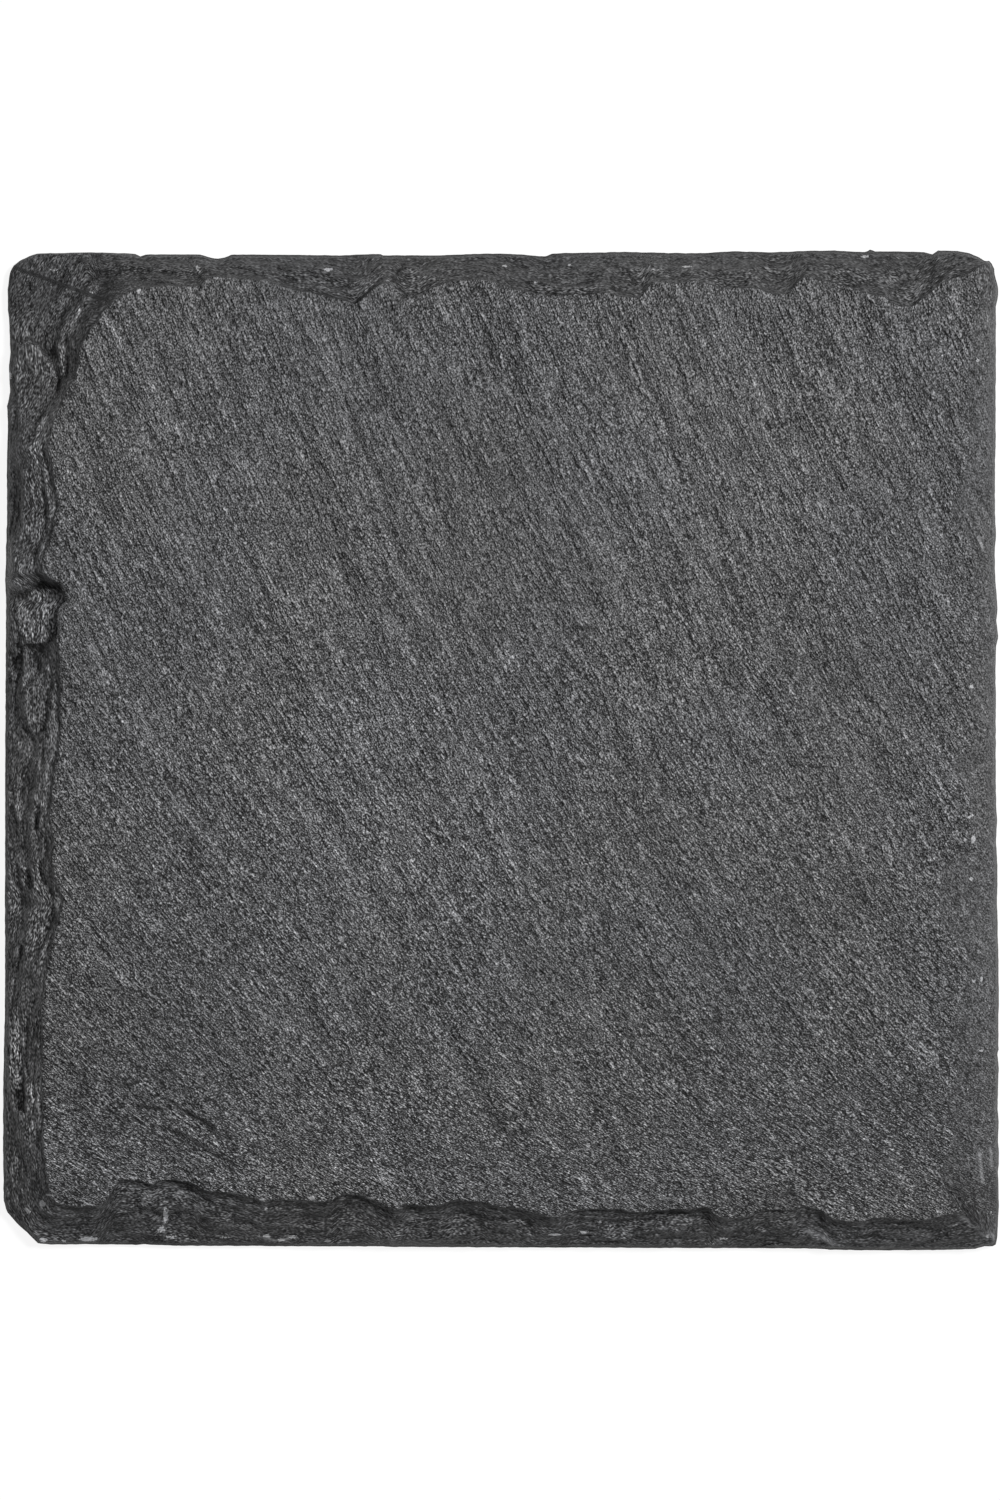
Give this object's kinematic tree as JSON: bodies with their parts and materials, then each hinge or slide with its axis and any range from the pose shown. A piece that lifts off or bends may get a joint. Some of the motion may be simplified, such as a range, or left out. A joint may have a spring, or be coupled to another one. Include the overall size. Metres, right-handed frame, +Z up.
{
  "type": "slate coaster",
  "caption": "Square slab of split dark grey slate with chipped, bevelled edges, lying flat as a coaster for a cup or glass.",
  "frame": {"origin": "middle of the box that the slab fills, on the plane of its flat underside", "axes": "+Z up out of the split face; X runs across the slab from its notched edge (-X) to its softly rounded edge (+X); Y runs along it"},
  "size_m": [0.0994, 0.0998, 0.005],
  "materials": {
    "slate": "dry, unpolished, riven (split) surface"
  },
  "bodies": {
    "root": {"slate_slab": "slate"}
  },
  "joints": []
}
